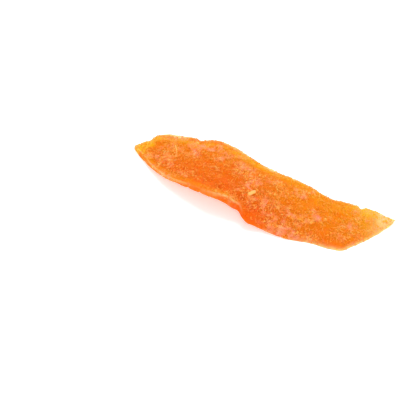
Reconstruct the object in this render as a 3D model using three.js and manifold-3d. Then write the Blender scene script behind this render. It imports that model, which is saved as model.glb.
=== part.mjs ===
// A dried mango slice: one long leaf of fruit flesh, dried until it arched, with coarse sugar grains on it.
// Units are millimetres. +X runs along the slice, +Y towards its straighter edge, +Z up.
// The origin is under the middle of the slice, on the surface that it rests on.

import * as THREE from 'three';
import { mergeVertices } from 'three/addons/utils/BufferGeometryUtils.js';
import Module from 'manifold-3d';

const wasm = await Module();
wasm.setup();

// Driving dimensions
const LENGTH = 117;               // tip to tip
const BLUNT_TIP_ROUND = 3.2;      // length over which the blunt end closes
const THIN_TIP_ROUND = 1.6;       // length over which the thin end closes

// Cross-sections of the slice, by their distance from the blunt tip.
// far, near: where the two edges lie beside the tip-to-tip line.
// farLift, nearLift: height of the underside at each edge.
// crown: how far the middle stands above the straight line between the edges, below 0 where it is dished.
// flesh: thickness in the middle. farWall, nearWall: thickness at each edge.
const SECTION_COLUMNS = ['at', 'far', 'near', 'farLift', 'nearLift', 'crown', 'flesh', 'farWall', 'nearWall'];
const SECTION_ROWS = [
  [0, 2.1, -0.7, -0.2, -0.2, -0.3, 2.2, 2.0, 1.7],
  [4, 4.9, -3.5, -0.1, -0.3, -0.4, 2.7, 2.4, 1.6],
  [10, 9.6, -8.2, 1.6, 0.8, -0.7, 2.6, 2.4, 1.1],
  [20, 8.9, -14.5, 4.4, 3.0, -0.9, 2.8, 2.4, 1.0],
  [31, 7.7, -18.6, 6.8, 5.2, -0.8, 3.2, 2.4, 1.5],
  [42, 7.0, -21.5, 8.2, 6.4, -0.4, 3.7, 2.4, 2.2],
  [51, 3.6, -22.2, 8.4, 5.4, 0.4, 4.2, 2.4, 2.9],
  [60, 1.1, -25.6, 7.6, 3.0, 1.4, 4.4, 2.2, 2.3],
  [68, 0.6, -26.0, 6.4, 0.7, 2.2, 4.5, 2.0, 2.0],
  [78, 0.8, -26.2, 4.6, -0.5, 2.1, 4.4, 1.9, 2.0],
  [88, -0.9, -24.7, 2.7, -0.9, 1.4, 4.1, 1.8, 2.0],
  [98, 0.3, -24.4, 1.3, -0.9, 0.6, 3.6, 1.6, 1.9],
  [106, 1.4, -18.4, 0.4, -0.7, 0.1, 2.8, 1.4, 1.6],
  [112, 0.8, -10.2, 0.0, -0.4, 0.0, 2.1, 1.3, 1.4],
  [117, -0.9, -1.5, 0.4, 0.3, 0.0, 1.6, 1.2, 1.2],
];
const SECTIONS = SECTION_ROWS.map(
  (row) => Object.fromEntries(row.map((size, column) => [SECTION_COLUMNS[column], size])));

// Small irregularities of the cut edges: where, how wide along the slice, and how far out (or in, below 0).
const FAR_NICKS = [
  { at: 1.6, width: 1.0, out: -0.7 },
  { at: 3.1, width: 0.7, out: -0.2 },
  { at: 4.9, width: 0.6, out: -0.7 },
  { at: 7.2, width: 1.3, out: 0.9 },
  { at: 28.8, width: 2.0, out: -0.8 },
  { at: 36, width: 4.0, out: 1.0 },
  { at: 65.5, width: 2.2, out: -0.2 },
  { at: 91.5, width: 3.0, out: -0.3 },
  { at: 102.4, width: 1.0, out: -1.4 },
  { at: 112.4, width: 1.0, out: -0.3 },
];
const NEAR_NICKS = [
  { at: 7.6, width: 1.0, out: -0.3 },
  { at: 33, width: 0.7, out: -0.4 },
  { at: 56.5, width: 2.2, out: -1.5 },
  { at: 61.8, width: 2.2, out: 0.5 },
  { at: 101.5, width: 2.6, out: 1.3 },
];

// Raised lip round the edge of the dished part, and the place where the near wall stands out under it.
const LIP_HEIGHT = 0.65;
const LIP_WIDTH = 1.2;
const LIP_INSET = 0.5;
const LIP_END = 63;               // the lip has faded out this far along
const LIP_FADE = 11;
const LIP_EASE = 1.5;             // above 1, the lip fades quickly at first and slowly at its end
const LEDGE = { at: 54, width: 5, inset: 1.1, breadth: 1 / 3 };

// How the walls round over at the top and tuck in at the bottom.
const TOP_ROUND = 0.8;
const ROLLED_ROUND = 4.2;         // rounder where the near edge rolls down
const ROLLED_BREADTH = 1 / 2;     // share of the breadth that the rolling reaches
const UNDER_ROUND = 1.1;
const WALL_SHARE_BELOW = 0.45;    // share of the wall that is below the widest line
const MIDDLE_FLATNESS = 0.7;      // below 1, the middle keeps its thickness over more of the breadth
const CALM_BORDER = 2.5;          // the waves and hollows die away over this much next to an edge
const UNDER_WAVE_SHARE = 0.5;     // the underside is smoother than the shown face

// Soft hollows and swellings of the shown face.
const DENTS = [
  { at: 61, across: -20.5, along: 3.6, wide: 3.0, rise: -0.9 },
  { at: 16, across: -3, along: 7, wide: 5, rise: -0.3 },
  { at: 37, across: -8, along: 9, wide: 6, rise: -0.35 },
  { at: 51, across: -6, along: 4, wide: 8, rise: 0.45 },
  { at: 73, across: -14, along: 6, wide: 4, rise: 0.4 },
  { at: 85, across: -9, along: 7, wide: 4, rise: -0.35 },
  { at: 96, across: -14, along: 5, wide: 4, rise: 0.35 },
  { at: 104, across: -6, along: 4, wide: 3, rise: -0.3 },
];

// Shallow waves of the shrunken flesh, longer along the grain of the fruit than across it.
const WAVE_SEED = 20;
const WAVE_COUNT = 9;
const WAVE_RISE = 0.085;
const WAVE_ALONG = 13;
const WAVE_ACROSS = 4.6;
const WAVE_ALONG_SPREAD = [0.6, 1.6];
const WAVE_ACROSS_SPREAD = [0.7, 1.9];

// Mesh fineness
const STEPS_ALONG = 92;
const TOP_STEPS_ACROSS = 26;
const UNDER_STEPS_ACROSS = 14;
const END_FINENESS = 6;           // how many more stations the ends have, for their length, than the middle
const END_REACH = 2.5;
const STATION_TOLERANCE = 1e-6;
const MERGE_TOLERANCE = 1e-4;
const SLOPE_REACH = 0.2;          // the edges' directions are taken over this much to each side
const SMALLEST_BREADTH = 0.01;

// Coarse sugar grains that stand on the shown face, and one loose fleck of flesh
const GRAIN_SEED = 7;
const GRAIN_COUNT = 60;
const GRAIN_SMALLEST = 0.7;
const GRAIN_LARGEST = 1.15;
const GRAIN_NARROWEST = 0.7;      // breadth of the narrowest grain as a share of its length
const GRAIN_SUNK = 0.25;          // share of its size below the surface
const GRAIN_EDGE_GAP = 1.4;
const GRAIN_SPACING = 4.2;        // no two scattered grains stand closer than this
const LONE_GRAINS = [[61.8, -14.5], [89.6, -22.1]];
const FLECK = { at: 60, across: -16, length: 3.6, width: 1.8, height: 0.8, turns: [0.4, 0.2, 0.5] };

const FLESH_LOOK = { color: 0xf57c16, roughness: 0.55, metalness: 0, flatShading: true };

const clamp = (value, low, high) => Math.min(high, Math.max(low, value));
const bell = (distance, width) => Math.exp(-((distance / width) ** 2));

const between = (random, low, high) => low + (high - low) * random();

// A repeatable stream of numbers from 0 to 1.
function randomStream(seed) {
  let state = seed;
  return () => {
    state = (state * 1664525 + 1013904223) % 4294967296;
    return state / 4294967296;
  };
}

// One named size of the cross-sections, blended smoothly along the slice.
function sectionSize(name, along) {
  const last = SECTIONS.length - 1;
  let i = 0;
  while (i < last - 1 && along > SECTIONS[i + 1].at) i += 1;
  const slopeAt = (k) => {
    const before = SECTIONS[Math.max(k - 1, 0)];
    const after = SECTIONS[Math.min(k + 1, last)];
    return (after[name] - before[name]) / (after.at - before.at);
  };
  const from = SECTIONS[i];
  const to = SECTIONS[i + 1];
  const span = to.at - from.at;
  const t = (along - from.at) / span;
  const t2 = t * t;
  const t3 = t2 * t;
  return (2 * t3 - 3 * t2 + 1) * from[name] + (t3 - 2 * t2 + t) * span * slopeAt(i)
    + (3 * t2 - 2 * t3) * to[name] + (t3 - t2) * span * slopeAt(i + 1);
}

// From 0 at each tip to 1 where the end has reached its full breadth.
function endRound(along) {
  const blunt = clamp(along / BLUNT_TIP_ROUND, 0, 1);
  const thin = clamp((LENGTH - along) / THIN_TIP_ROUND, 0, 1);
  return Math.sqrt(1 - (1 - blunt) ** 2) * Math.sqrt(1 - (1 - thin) ** 2);
}

function farEdge(along) {
  const nicks = FAR_NICKS.reduce((sum, nick) => sum + nick.out * bell(along - nick.at, nick.width), 0);
  return (sectionSize('far', along) + nicks) * endRound(along);
}

function nearEdge(along) {
  const nicks = NEAR_NICKS.reduce((sum, nick) => sum + nick.out * bell(along - nick.at, nick.width), 0);
  return (sectionSize('near', along) - nicks) * endRound(along);
}

// Distance from each edge, measured square to it.
function edgeDistances(along, across) {
  const low = Math.max(along - SLOPE_REACH, 0);
  const high = Math.min(along + SLOPE_REACH, LENGTH);
  const farSlope = (farEdge(high) - farEdge(low)) / (high - low);
  const nearSlope = (nearEdge(high) - nearEdge(low)) / (high - low);
  return {
    far: Math.max(farEdge(along) - across, 0) / Math.hypot(1, farSlope),
    near: Math.max(across - nearEdge(along), 0) / Math.hypot(1, nearSlope),
  };
}

// How much of the raised lip is left at this distance along the slice.
const lipShare = (along) => clamp((LIP_END - along) / LIP_FADE, 0, 1) ** LIP_EASE;

// Quarter-round closing of a wall, from 0 at the edge to 1 further in.
function roundOver(distance, radius) {
  const t = clamp(distance / radius, 0, 1);
  return Math.sqrt(1 - (1 - t) ** 2);
}

function makeWaves() {
  const random = randomStream(WAVE_SEED);
  const waves = [];
  for (let i = 0; i < WAVE_COUNT; i += 1) {
    const along = (2 * Math.PI) / (WAVE_ALONG * between(random, ...WAVE_ALONG_SPREAD));
    const sign = random() < 0.5 ? -1 : 1;
    const across = (sign * 2 * Math.PI) / (WAVE_ACROSS * between(random, ...WAVE_ACROSS_SPREAD));
    waves.push({ along, across, phase: 2 * Math.PI * random() });
  }
  return waves;
}
const waves = makeWaves();

function waveRelief(along, across) {
  return waves.reduce(
    (sum, wave) => sum + WAVE_RISE * Math.sin(along * wave.along + across * wave.across + wave.phase), 0);
}

function dentRelief(along, across) {
  const shareOf = (dent) => bell(along - dent.at, dent.along) * bell(across - dent.across, dent.wide);
  return DENTS.reduce((sum, dent) => sum + dent.rise * shareOf(dent), 0);
}

// Height of the underside before it is flattened by what it rests on.
function underHeight(along, share) {
  const lift = sectionSize('nearLift', along) * (1 - share) + sectionSize('farLift', along) * share;
  const middle = 4 * share * (1 - share);
  return lift + sectionSize('crown', along) * middle;
}

// The three heights that make the section at one place: underside, widest line of the wall, and shown face.
function heights(along, across) {
  const near = nearEdge(along);
  const far = farEdge(along);
  const share = far - near > SMALLEST_BREADTH ? clamp((across - near) / (far - near), 0, 1) : 0.5;
  const distance = edgeDistances(along, across);
  const inward = Math.min(distance.far, distance.near);
  const wall = sectionSize('nearWall', along) * (1 - share) + sectionSize('farWall', along) * share;
  const middle = (4 * share * (1 - share)) ** MIDDLE_FLATNESS;
  const flesh = wall * (1 - middle) + sectionSize('flesh', along) * middle;

  const rolled = (1 - lipShare(along)) * clamp(1 - share / ROLLED_BREADTH, 0, 1);
  const ledge = LEDGE.inset * bell(along - LEDGE.at, LEDGE.width) * clamp(1 - share / LEDGE.breadth, 0, 1);
  const topRound = TOP_ROUND + (ROLLED_ROUND - TOP_ROUND) * rolled + ledge;
  const lip = LIP_HEIGHT * lipShare(along) * bell(inward - LIP_INSET - ledge, LIP_WIDTH);

  const floorless = underHeight(along, share);
  const below = WALL_SHARE_BELOW * wall;
  const rim = floorless + below;
  const calm = clamp(inward / CALM_BORDER, 0, 1);
  const waviness = calm * waveRelief(along, across);
  const relief = waviness + calm * dentRelief(along, across);
  const top = rim + (flesh - below + lip) * roundOver(inward, topRound) + relief;
  const under = rim - below * roundOver(inward, UNDER_ROUND) + UNDER_WAVE_SHARE * waviness;
  return { top, under };
}

// How many station widths lie before this place: they are narrower near the two ends.
function stationCount(along) {
  const blunt = 1 - Math.exp(-along / END_REACH);
  const thin = Math.exp((along - LENGTH) / END_REACH) - Math.exp(-LENGTH / END_REACH);
  return along + END_FINENESS * END_REACH * (blunt + thin);
}

// The place of one station, found by halving.
function stationAlong(i) {
  const wanted = (i / STEPS_ALONG) * stationCount(LENGTH);
  let low = 0;
  let high = LENGTH;
  while (high - low > STATION_TOLERANCE) {
    const middle = (low + high) / 2;
    if (stationCount(middle) < wanted) low = middle;
    else high = middle;
  }
  if (i === 0) return 0;
  return i === STEPS_ALONG ? LENGTH : (low + high) / 2;
}

// Places across it crowd together at its edges.
const shareAcross = (j, steps) => 0.5 + 0.5 * Math.sin(Math.PI * (j / steps - 0.5));

// Rows of points over one face of the slice, from tip to tip.
function facePoints(steps, heightName) {
  const rows = [];
  for (let i = 0; i <= STEPS_ALONG; i += 1) {
    const along = stationAlong(i);
    const near = nearEdge(along);
    const far = farEdge(along);
    const row = [];
    for (let j = 0; j <= steps; j += 1) {
      const across = near + (far - near) * shareAcross(j, steps);
      const height = Math.max(heights(along, across)[heightName], 0);
      row.push([along, across, height]);
    }
    rows.push(row);
  }
  return rows;
}

// Triangles over rows of points; a face that looks down is wound the other way.
function addFace(positions, rows, looksUp) {
  for (let i = 0; i < rows.length - 1; i += 1) {
    for (let j = 0; j < rows[i].length - 1; j += 1) {
      const a = rows[i][j];
      const b = rows[i + 1][j];
      const c = rows[i + 1][j + 1];
      const d = rows[i][j + 1];
      const quad = looksUp ? [a, b, c, a, c, d] : [a, c, b, a, d, c];
      quad.forEach((point) => positions.push(...point));
    }
  }
}

// Both faces share the widest line of the wall, so that line is made the same for both.
function shareRim(topRows, underRows) {
  topRows.forEach((row, i) => {
    const under = underRows[i];
    under[0] = row[0];
    under[under.length - 1] = row[row.length - 1];
  });
  const tips = [0, topRows.length - 1];
  tips.forEach((i) => {
    topRows[i].fill(topRows[i][0]);
    underRows[i].fill(topRows[i][0]);
  });
}

// A closed surface as a solid that can be joined to others.
function toSolid(geometry) {
  geometry.deleteAttribute('normal');
  geometry.deleteAttribute('uv');
  const merged = mergeVertices(geometry, MERGE_TOLERANCE);
  const index = Array.from(merged.index.array);
  const kept = [];
  for (let k = 0; k < index.length; k += 3) {
    const [a, b, c] = index.slice(k, k + 3);
    if (a !== b && b !== c && c !== a) kept.push(a, b, c);
  }
  return new wasm.Manifold(new wasm.Mesh({
    numProp: 3,
    vertProperties: new Float32Array(merged.attributes.position.array),
    triVerts: new Uint32Array(kept),
  }));
}

function makeFlesh() {
  const topRows = facePoints(TOP_STEPS_ACROSS, 'top');
  const underRows = facePoints(UNDER_STEPS_ACROSS, 'under');
  shareRim(topRows, underRows);
  const positions = [];
  addFace(positions, topRows, true);
  addFace(positions, underRows, false);
  const geometry = new THREE.BufferGeometry();
  geometry.setAttribute('position', new THREE.Float32BufferAttribute(positions, 3));
  return toSolid(geometry);
}

// One many-sided lump of the given sizes, turned about and set partly into the shown face.
function makeLump(place, sizes, turns) {
  const lump = new THREE.IcosahedronGeometry(0.5, 0);
  lump.rotateX(turns[0]);
  lump.rotateY(turns[1]);
  lump.scale(...sizes);
  lump.rotateZ(turns[2]);
  const height = heights(place[0], place[1]).top + sizes[2] * (0.5 - GRAIN_SUNK);
  lump.translate(place[0], place[1], height);
  return toSolid(lump);
}

// Places on the shown face: first the lone grains, then others in from the edges, clear of all before
// them and of the fleck.
function grainPlaces(random) {
  const places = [...LONE_GRAINS];
  const isClear = (along, across, place) => Math.hypot(along - place[0], across - place[1]) > GRAIN_SPACING;
  while (places.length < GRAIN_COUNT) {
    const along = LENGTH * random();
    const across = nearEdge(along) + (farEdge(along) - nearEdge(along)) * random();
    const distance = edgeDistances(along, across);
    const inside = Math.min(distance.far, distance.near) > GRAIN_EDGE_GAP;
    const taken = [...places, [FLECK.at, FLECK.across]];
    if (inside && taken.every((place) => isClear(along, across, place))) places.push([along, across]);
  }
  return places;
}

function makeGrains() {
  const random = randomStream(GRAIN_SEED);
  return grainPlaces(random).map((place) => {
    const size = GRAIN_SMALLEST + (GRAIN_LARGEST - GRAIN_SMALLEST) * random() ** 2;
    const breadth = size * between(random, GRAIN_NARROWEST, 1);
    const height = size * between(random, GRAIN_NARROWEST, 1);
    const turns = [Math.PI * random(), Math.PI * random(), Math.PI * random()];
    return makeLump(place, [size, breadth, height], turns);
  });
}

function makeFleck() {
  const sizes = [FLECK.length, FLECK.width, FLECK.height];
  return makeLump([FLECK.at, FLECK.across], sizes, FLECK.turns);
}

function toGeometry(solid) {
  const mesh = solid.getMesh();
  const geometry = new THREE.BufferGeometry();
  geometry.setAttribute('position', new THREE.BufferAttribute(mesh.vertProperties, 3));
  geometry.setIndex(new THREE.BufferAttribute(mesh.triVerts, 1));
  return geometry;
}

function makeSlice() {
  const joined = [makeFleck(), ...makeGrains()].reduce((slice, lump) => slice.add(lump), makeFlesh());
  const geometry = toGeometry(joined);
  geometry.computeBoundingBox();
  const { min, max } = geometry.boundingBox;
  geometry.translate(-(min.x + max.x) / 2, -(min.y + max.y) / 2, -min.z);
  const material = new THREE.MeshStandardMaterial(FLESH_LOOK);
  const slice = new THREE.Mesh(geometry, material);
  slice.name = 'mango_slice';
  return slice;
}

const model = new THREE.Group();
model.add(makeSlice());

export default model;
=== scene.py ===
"""A dried mango slice with its coat of sugar, lying on a white table in soft light.

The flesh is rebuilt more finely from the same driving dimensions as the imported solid, which it replaces.
Lengths in the tables are millimetres along and across the slice; MM turns them into the frame's metres.
"""

import math

import bmesh
import bpy
import numpy as np
from mathutils import Euler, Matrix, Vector, noise
from mathutils.bvhtree import BVHTree


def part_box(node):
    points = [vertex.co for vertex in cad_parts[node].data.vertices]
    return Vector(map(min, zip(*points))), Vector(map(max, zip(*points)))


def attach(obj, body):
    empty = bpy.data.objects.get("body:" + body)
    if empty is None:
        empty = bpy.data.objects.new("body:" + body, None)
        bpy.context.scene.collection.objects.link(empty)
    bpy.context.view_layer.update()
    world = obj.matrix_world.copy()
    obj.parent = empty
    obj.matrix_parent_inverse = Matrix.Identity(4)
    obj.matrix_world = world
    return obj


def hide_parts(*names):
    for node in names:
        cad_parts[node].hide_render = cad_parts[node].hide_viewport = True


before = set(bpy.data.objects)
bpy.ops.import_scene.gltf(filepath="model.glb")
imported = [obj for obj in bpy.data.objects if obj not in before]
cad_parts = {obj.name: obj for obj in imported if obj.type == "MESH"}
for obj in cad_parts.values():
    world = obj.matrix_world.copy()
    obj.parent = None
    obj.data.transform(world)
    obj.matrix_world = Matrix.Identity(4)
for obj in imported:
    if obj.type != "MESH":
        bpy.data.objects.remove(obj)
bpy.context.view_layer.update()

NODE = "mango_slice"
LENGTH = 117.0
NODE_LOW, NODE_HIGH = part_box(NODE)
MM = (NODE_HIGH.x - NODE_LOW.x) / LENGTH

# Cross-sections, from the blunt tip: place along the slice, far and near edge beside the tip-to-tip line,
# height of the underside at the far and near edge, crown of the middle, thickness of the flesh, and
# thickness of the far and near wall.
SECTIONS = np.array([
    (0, 2.1, -0.7, -0.2, -0.2, -0.3, 2.2, 2.0, 1.7),
    (4, 4.9, -3.5, -0.1, -0.3, -0.4, 2.7, 2.4, 1.6),
    (10, 9.6, -8.2, 1.6, 0.8, -0.7, 2.6, 2.4, 1.1),
    (20, 8.9, -14.5, 4.4, 3.0, -0.9, 2.8, 2.4, 1.0),
    (31, 7.7, -18.6, 6.8, 5.2, -0.8, 3.2, 2.4, 1.5),
    (42, 7.0, -21.5, 8.2, 6.4, -0.4, 3.7, 2.4, 2.2),
    (51, 3.6, -22.2, 8.4, 5.4, 0.4, 4.2, 2.4, 2.9),
    (60, 1.1, -25.6, 7.6, 3.0, 1.4, 4.4, 2.2, 2.3),
    (68, 0.6, -26.0, 6.4, 0.7, 2.2, 4.5, 2.0, 2.0),
    (78, 0.8, -26.2, 4.6, -0.5, 2.1, 4.4, 1.9, 2.0),
    (88, -0.9, -24.7, 2.7, -0.9, 1.4, 4.1, 1.8, 2.0),
    (98, 0.3, -24.4, 1.3, -0.9, 0.6, 3.6, 1.6, 1.9),
    (106, 1.4, -18.4, 0.4, -0.7, 0.1, 2.8, 1.4, 1.6),
    (112, 0.8, -10.2, 0.0, -0.4, 0.0, 2.1, 1.3, 1.4),
    (117, -0.9, -1.5, 0.4, 0.3, 0.0, 1.6, 1.2, 1.2),
])
FAR, NEAR, FAR_LIFT, NEAR_LIFT, CROWN, FLESH, FAR_WALL, NEAR_WALL = range(1, 9)

# Irregularities of the cut edges: place, width along the slice, and how far out.
FAR_NICKS = [
    (1.6, 1.0, -0.7), (3.1, 0.7, -0.2), (4.9, 0.6, -0.7), (7.2, 1.3, 0.9), (28.8, 2.0, -0.8),
    (36, 4.0, 1.0), (65.5, 2.2, -0.2), (91.5, 3.0, -0.3), (102.4, 1.0, -1.4), (112.4, 1.0, -0.3),
]
NEAR_NICKS = [
    (7.6, 1.0, -0.3), (33, 0.7, -0.4), (56.5, 2.2, -1.5), (61.8, 2.2, 0.5), (101.5, 2.6, 1.3),
]
# Soft hollows and swellings: place along, place across, reach along, reach across, rise.
DENTS = [
    (61, -20.5, 3.6, 3.0, -0.9), (16, -3, 7, 5, -0.3), (37, -8, 9, 6, -0.35), (51, -6, 4, 8, 0.45),
    (73, -14, 6, 4, 0.4), (85, -9, 7, 4, -0.35), (96, -14, 5, 4, 0.35), (104, -6, 4, 3, -0.3),
]

# The rest of the shape, as in the solid: tips, raised lip, ledge, edges, waves, grains and fleck.
BLUNT_TIP_ROUND = 3.2
THIN_TIP_ROUND = 1.6
LIP_HEIGHT = 0.65
LIP_WIDTH = 1.2
LIP_INSET = 0.5
LIP_END = 63
LIP_FADE = 11
LIP_EASE = 1.5
LEDGE_AT = 54
LEDGE_WIDTH = 5
LEDGE_INSET = 1.1
LEDGE_BREADTH = 1 / 3
TOP_ROUND = 0.8
ROLLED_ROUND = 4.2
ROLLED_BREADTH = 1 / 2
UNDER_ROUND = 1.1
WALL_SHARE_BELOW = 0.45
MIDDLE_FLATNESS = 0.7
CALM_BORDER = 2.5
UNDER_WAVE_SHARE = 0.5
WAVE_SEED = 20
WAVE_COUNT = 9
WAVE_RISE = 0.085
WAVE_ALONG = 13
WAVE_ACROSS = 4.6
WAVE_SHORTEST_ALONG = 0.6
WAVE_SHORTEST_ACROSS = 0.7
WAVE_SPREAD_ACROSS = 1.2
GRAIN_SEED = 7
GRAIN_COUNT = 60
GRAIN_SMALLEST = 0.7
GRAIN_LARGEST = 1.15
GRAIN_NARROWEST = 0.7
GRAIN_EDGE_GAP = 1.4
GRAIN_SPACING = 4.2
LONE_GRAINS = [(61.8, -14.5), (89.6, -22.1)]
FLECK_AT = 60
FLECK_ACROSS = -16
FLECK_TURN = 0.8

# The repeatable draws that the solid's source makes too.
STREAM_FACTOR = 1664525
STREAM_STEP = 1013904223
STREAM_RANGE = 2 ** 32

# Fineness of the scene's mesh, which grows towards the two ends.
STEPS_ALONG = 400
TOP_STEPS_ACROSS = 150
UNDER_STEPS_ACROSS = 70
END_FINENESS = 5
END_REACH = 2.5
# How finely the stations, the outline and its slopes are worked out.
STATION_STEPS = 20000
OUTLINE_STEPS = 4000
SLOPE_REACH = 0.2
LEAST_BREADTH = 0.01

# Lumps of the surface: size (one, or along, across and up), height, and which part of the noise.
WRINKLES = ((9.0, 1.7, 2.5), 0.10, 2.1)
CRUST = (1.2, 0.11, 11.9)
FINE_CRUST = (0.7, 0.07, 47.2)
RIM_LUMPS = ((3.2, 3.2, 1.8), 0.14, 83.5)
RIM_REACH = 1.6
RIM_CALM = 0.7
SHOWN_GAIN = 2

# The frayed stretch of the far edge, and the small cut in the raised rim of the near edge.
FRAY_AT = 63
FRAY_WIDTH = 3.6
FRAY_REACH = 1.3
FRAY_RISE = 0.9
FRAY_BODY = 0.7
FRAY_LUMPS = (1.1, 0.5, 66.6)
RIM_CUT_AT = 38.9
RIM_CUT_WIDTH = 0.45
RIM_CUT_REACH = 1.6
RIM_CUT_DEPTH = 0.45

# Pale fibres that stand out on the dished end: points along and across the slice.
FIBRES = [
    [(16.2, 5.8), (18.3, 3.2), (19.8, 0.7), (20.6, -1.5), (20.8, -3.0)],
    [(13.8, -4.1), (15.5, -3.6), (17.9, -2.7), (21.4, -2.9)],
    [(17.0, -4.6), (19.6, -5.4), (21.8, -5.3)],
    [(37.8, -7.3), (40.4, -7.0), (42.5, -8.8)],
    [(14.9, -0.1), (14.7, -1.8), (16.3, -2.2)],
]
FIBRE_RISE = 0.1
FIBRE_WIDTH = 0.28
FIBRE_RADIUS = 0.25

# Short soft ridges of shrunken flesh on the crowned half: points along and across, and their half width.
CREASES = [
    ([(76.0, -20.2), (79.0, -18.7), (82.0, -18.1)], 0.8),
    ([(85.5, -16.6), (88.0, -15.7), (91.5, -15.5)], 0.8),
    ([(66.0, -18.0), (69.5, -16.4), (72.5, -16.0)], 0.7),
    ([(94.0, -9.5), (98.5, -8.6), (102.0, -9.2)], 0.9),
]
CREASE_RISE = 0.28

# Where sugar lies thicker (above 0) or thinner: along, across, reach along, reach across, share.
FROST_PATCHES = [
    (8, -3.5, 2.5, 1.6, 0.3), (22, -12, 4, 2, 0.1), (16, -4, 4, 5, 0.2), (19, -8, 2, 4, 0.2),
    (26, 3.5, 2.5, 2, 0.4), (29.5, 0.2, 1.8, 1.6, 0.6), (31.5, 3.5, 3, 1.6, 0.5), (37, 4, 6, 1.5, 0.4),
    (37, -3, 5, 1.2, 0.3), (50, 0, 6, 1.6, 0.4), (54, -3.5, 5, 1.6, 0.5), (56, -7, 3, 3, 0.4),
    (57.5, -13.5, 2.6, 3, 0.6), (58, -18, 2, 1.5, 0.5), (60, -10, 3, 3, 0.4), (69, -8, 3, 3, 0.3),
    (67, -21, 1.3, 3.5, 0.3), (71, -21.5, 3.5, 1.2, 0.4), (78, -19, 5, 1.2, 0.5),
    (79, -8.5, 2.5, 1.5, 0.35), (72, -12, 2.5, 2.5, 0.4), (87.5, -16, 3, 1.8, 0.45),
    (101, -13, 2.6, 2.6, 0.4), (107, -6, 3, 3, 0.2), (77, -25, 8, 1.6, 0.7), (87, -24, 5, 1.4, 0.4),
    (104, -13, 1.5, 2, 0.3), (64, -5, 3, 2, 0.3), (11.7, -6.4, 1.4, 1.4, -0.7),
    (9.5, -6.8, 3.5, 1.4, -0.7), (12, 4, 3, 2, -0.3), (42, 4.5, 2.5, 1.4, -0.5), (5, 0.5, 3, 3, -0.3),
    (24, -5, 3, 3, -0.4), (33, -8, 6, 5, -0.4), (45, -11, 7, 6, -0.5), (36, -17, 10, 3, -0.4),
    (63, -23.5, 4, 2.5, -0.8), (77, -12.5, 4, 2, -0.4), (83, -11, 3, 2, -0.4), (75, -5, 5, 4, -0.2),
    (88, -7, 4, 4, -0.6), (96, -8, 5, 3, -0.8), (93, -18.5, 3, 4, -0.6), (98, -21.5, 4, 1.4, -0.8),
    (4, 2.5, 3, 2, -0.4), (106, -1.4, 3, 1.5, -0.3), (56, -1, 6, 1.8, -1.0), (62, -3.5, 4, 2, -0.9),
    (90, -2.5, 8, 1.4, -0.4), (114, -4, 4.5, 6, -0.6),
]
FROST_BASE = 0.30
FROST_CLOUD = ((5.0, 3.0, 4.0), 0.60, 31.7)
FROST_FINE_CLOUD = (1.7, 0.50, 5.3)
FROST_ON_CREASES = 0.4
FROST_ON_PINK = 0.15

# Where the powder is thick enough to turn the flesh pink: along, across, reach along, reach across.
PINK_PATCHES = [
    (31, 5.5, 5, 1.8), (29.5, 0, 2, 2), (35, 3.5, 5, 2.0), (53, -3.5, 3, 2), (58, -13, 3, 3),
    (58, -18.5, 2.5, 2), (64, -20.5, 2, 2.5), (69, -18.5, 3, 2), (79, -24.5, 9, 2), (87.5, -17, 3, 2),
    (21, -9, 4, 3),
]
PINK_STRENGTH = 0.55
PINK_CLOUD = (3.4, 0.7, 72.5)

# The yellow share of the colour. Rises: start, end, change. Spots: along, across or in from the far edge,
# reach along, reach beside, share. Bands in from an edge: distance, width, share.
YELLOW_BASE = 0.21
YELLOW_ACROSS = 0.40
YELLOW_RISES = [(50, 100, 0.20), (6, 20, -0.10), (58, 72, 0.07)]
YELLOW_SPOTS = [(45, -12, 18, 9, -0.07), (66, -21, 8, 4, -0.22)]
YELLOW_EDGE_SPOTS = [(89, 0, 6, 4, -0.15), (72, 0, 6, 3.5, 0.14)]
YELLOW_FAR_BAND = [(53, 2.8, 15, 2.3, 0.4)]
YELLOW_BLUNT_BAND = [(6, 2.2, 7, 1.3, 0.6)]
YELLOW_BLUNT_LOBES = [(3.2, -1.4, 2.4, 1.5, 0.7), (6.2, 3.0, 2.2, 1.5, 0.7)]
YELLOW_THIN_LOBE = [(106, -1.6, 5, 2.4, 1.0)]
YELLOW_THIN_TIP = [(99, 112, 0.28)]
LIP_NEAR_BAND = [(2.0, 1.2, 0.45)]
LIP_FAR_BAND = [(2.8, 1.4, 0.3)]
# Painted light: the near wall of the dished end is painted yellower, as if lit, where it stands in shade.
NEAR_WALL_PAINTED_LIGHT = 0.22
NEAR_WALL_REACH = 1.0
NEAR_WALL_END = (42, 50)

# The pale line along the raised near rim, partly its own pale colour and partly a painted highlight where
# the crest catches the light; shifts and changes are given by place, width and amount.
RIM_LINE_STRENGTH = 0.55
RIM_LINE_EASE = 0.35
RIM_LINE_WIDTH = 0.38
RIM_LINE_INSET = 0.50
RIM_LINE_SHIFTS = [(24, 8, -0.25), (6, 5, 0.5)]
RIM_LINE_CHANGES = [(37, 6, -0.8), (5, 7, -0.4), (53, 4.0, 0.7)]
RIM_LINE_CUT = 0.9
RIM_LINE_END = (56.5, 60)
# The pale rim line and the fibres show only on faces that look up; for the rim line this keeps its painted
# highlight on top.
FACING_GAIN = 2.2

# The pale line along the far edge, with its broader stretch at the dished end, partly the edge's own pale
# colour and partly a painted highlight where the raised far rim catches the light, and the other pale
# marks.
FAR_LINE_STRENGTH = 0.40
FAR_LINE_CHANGES = [(12, 22, 0.25), (48, 5, 0.3), (56, 4, -0.3), (70, 5, 0.4), (0, 7, -0.35)]
FAR_LINE_INSET = 0.8
FAR_LINE_WIDTH = 0.8
# partly painted highlight: the broader pale stretch of the far rim at the dished end
PALE_FAR_RIM = [(17, 0.9, 7.5, 1.2, 1.2)]
PALE_FRAY = [(FRAY_AT, 1.1, FRAY_WIDTH, 1.0, 1.0)]
PALE_LOBE = [(106, -1.4, 3.5, 1.6, 0.4)]
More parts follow.
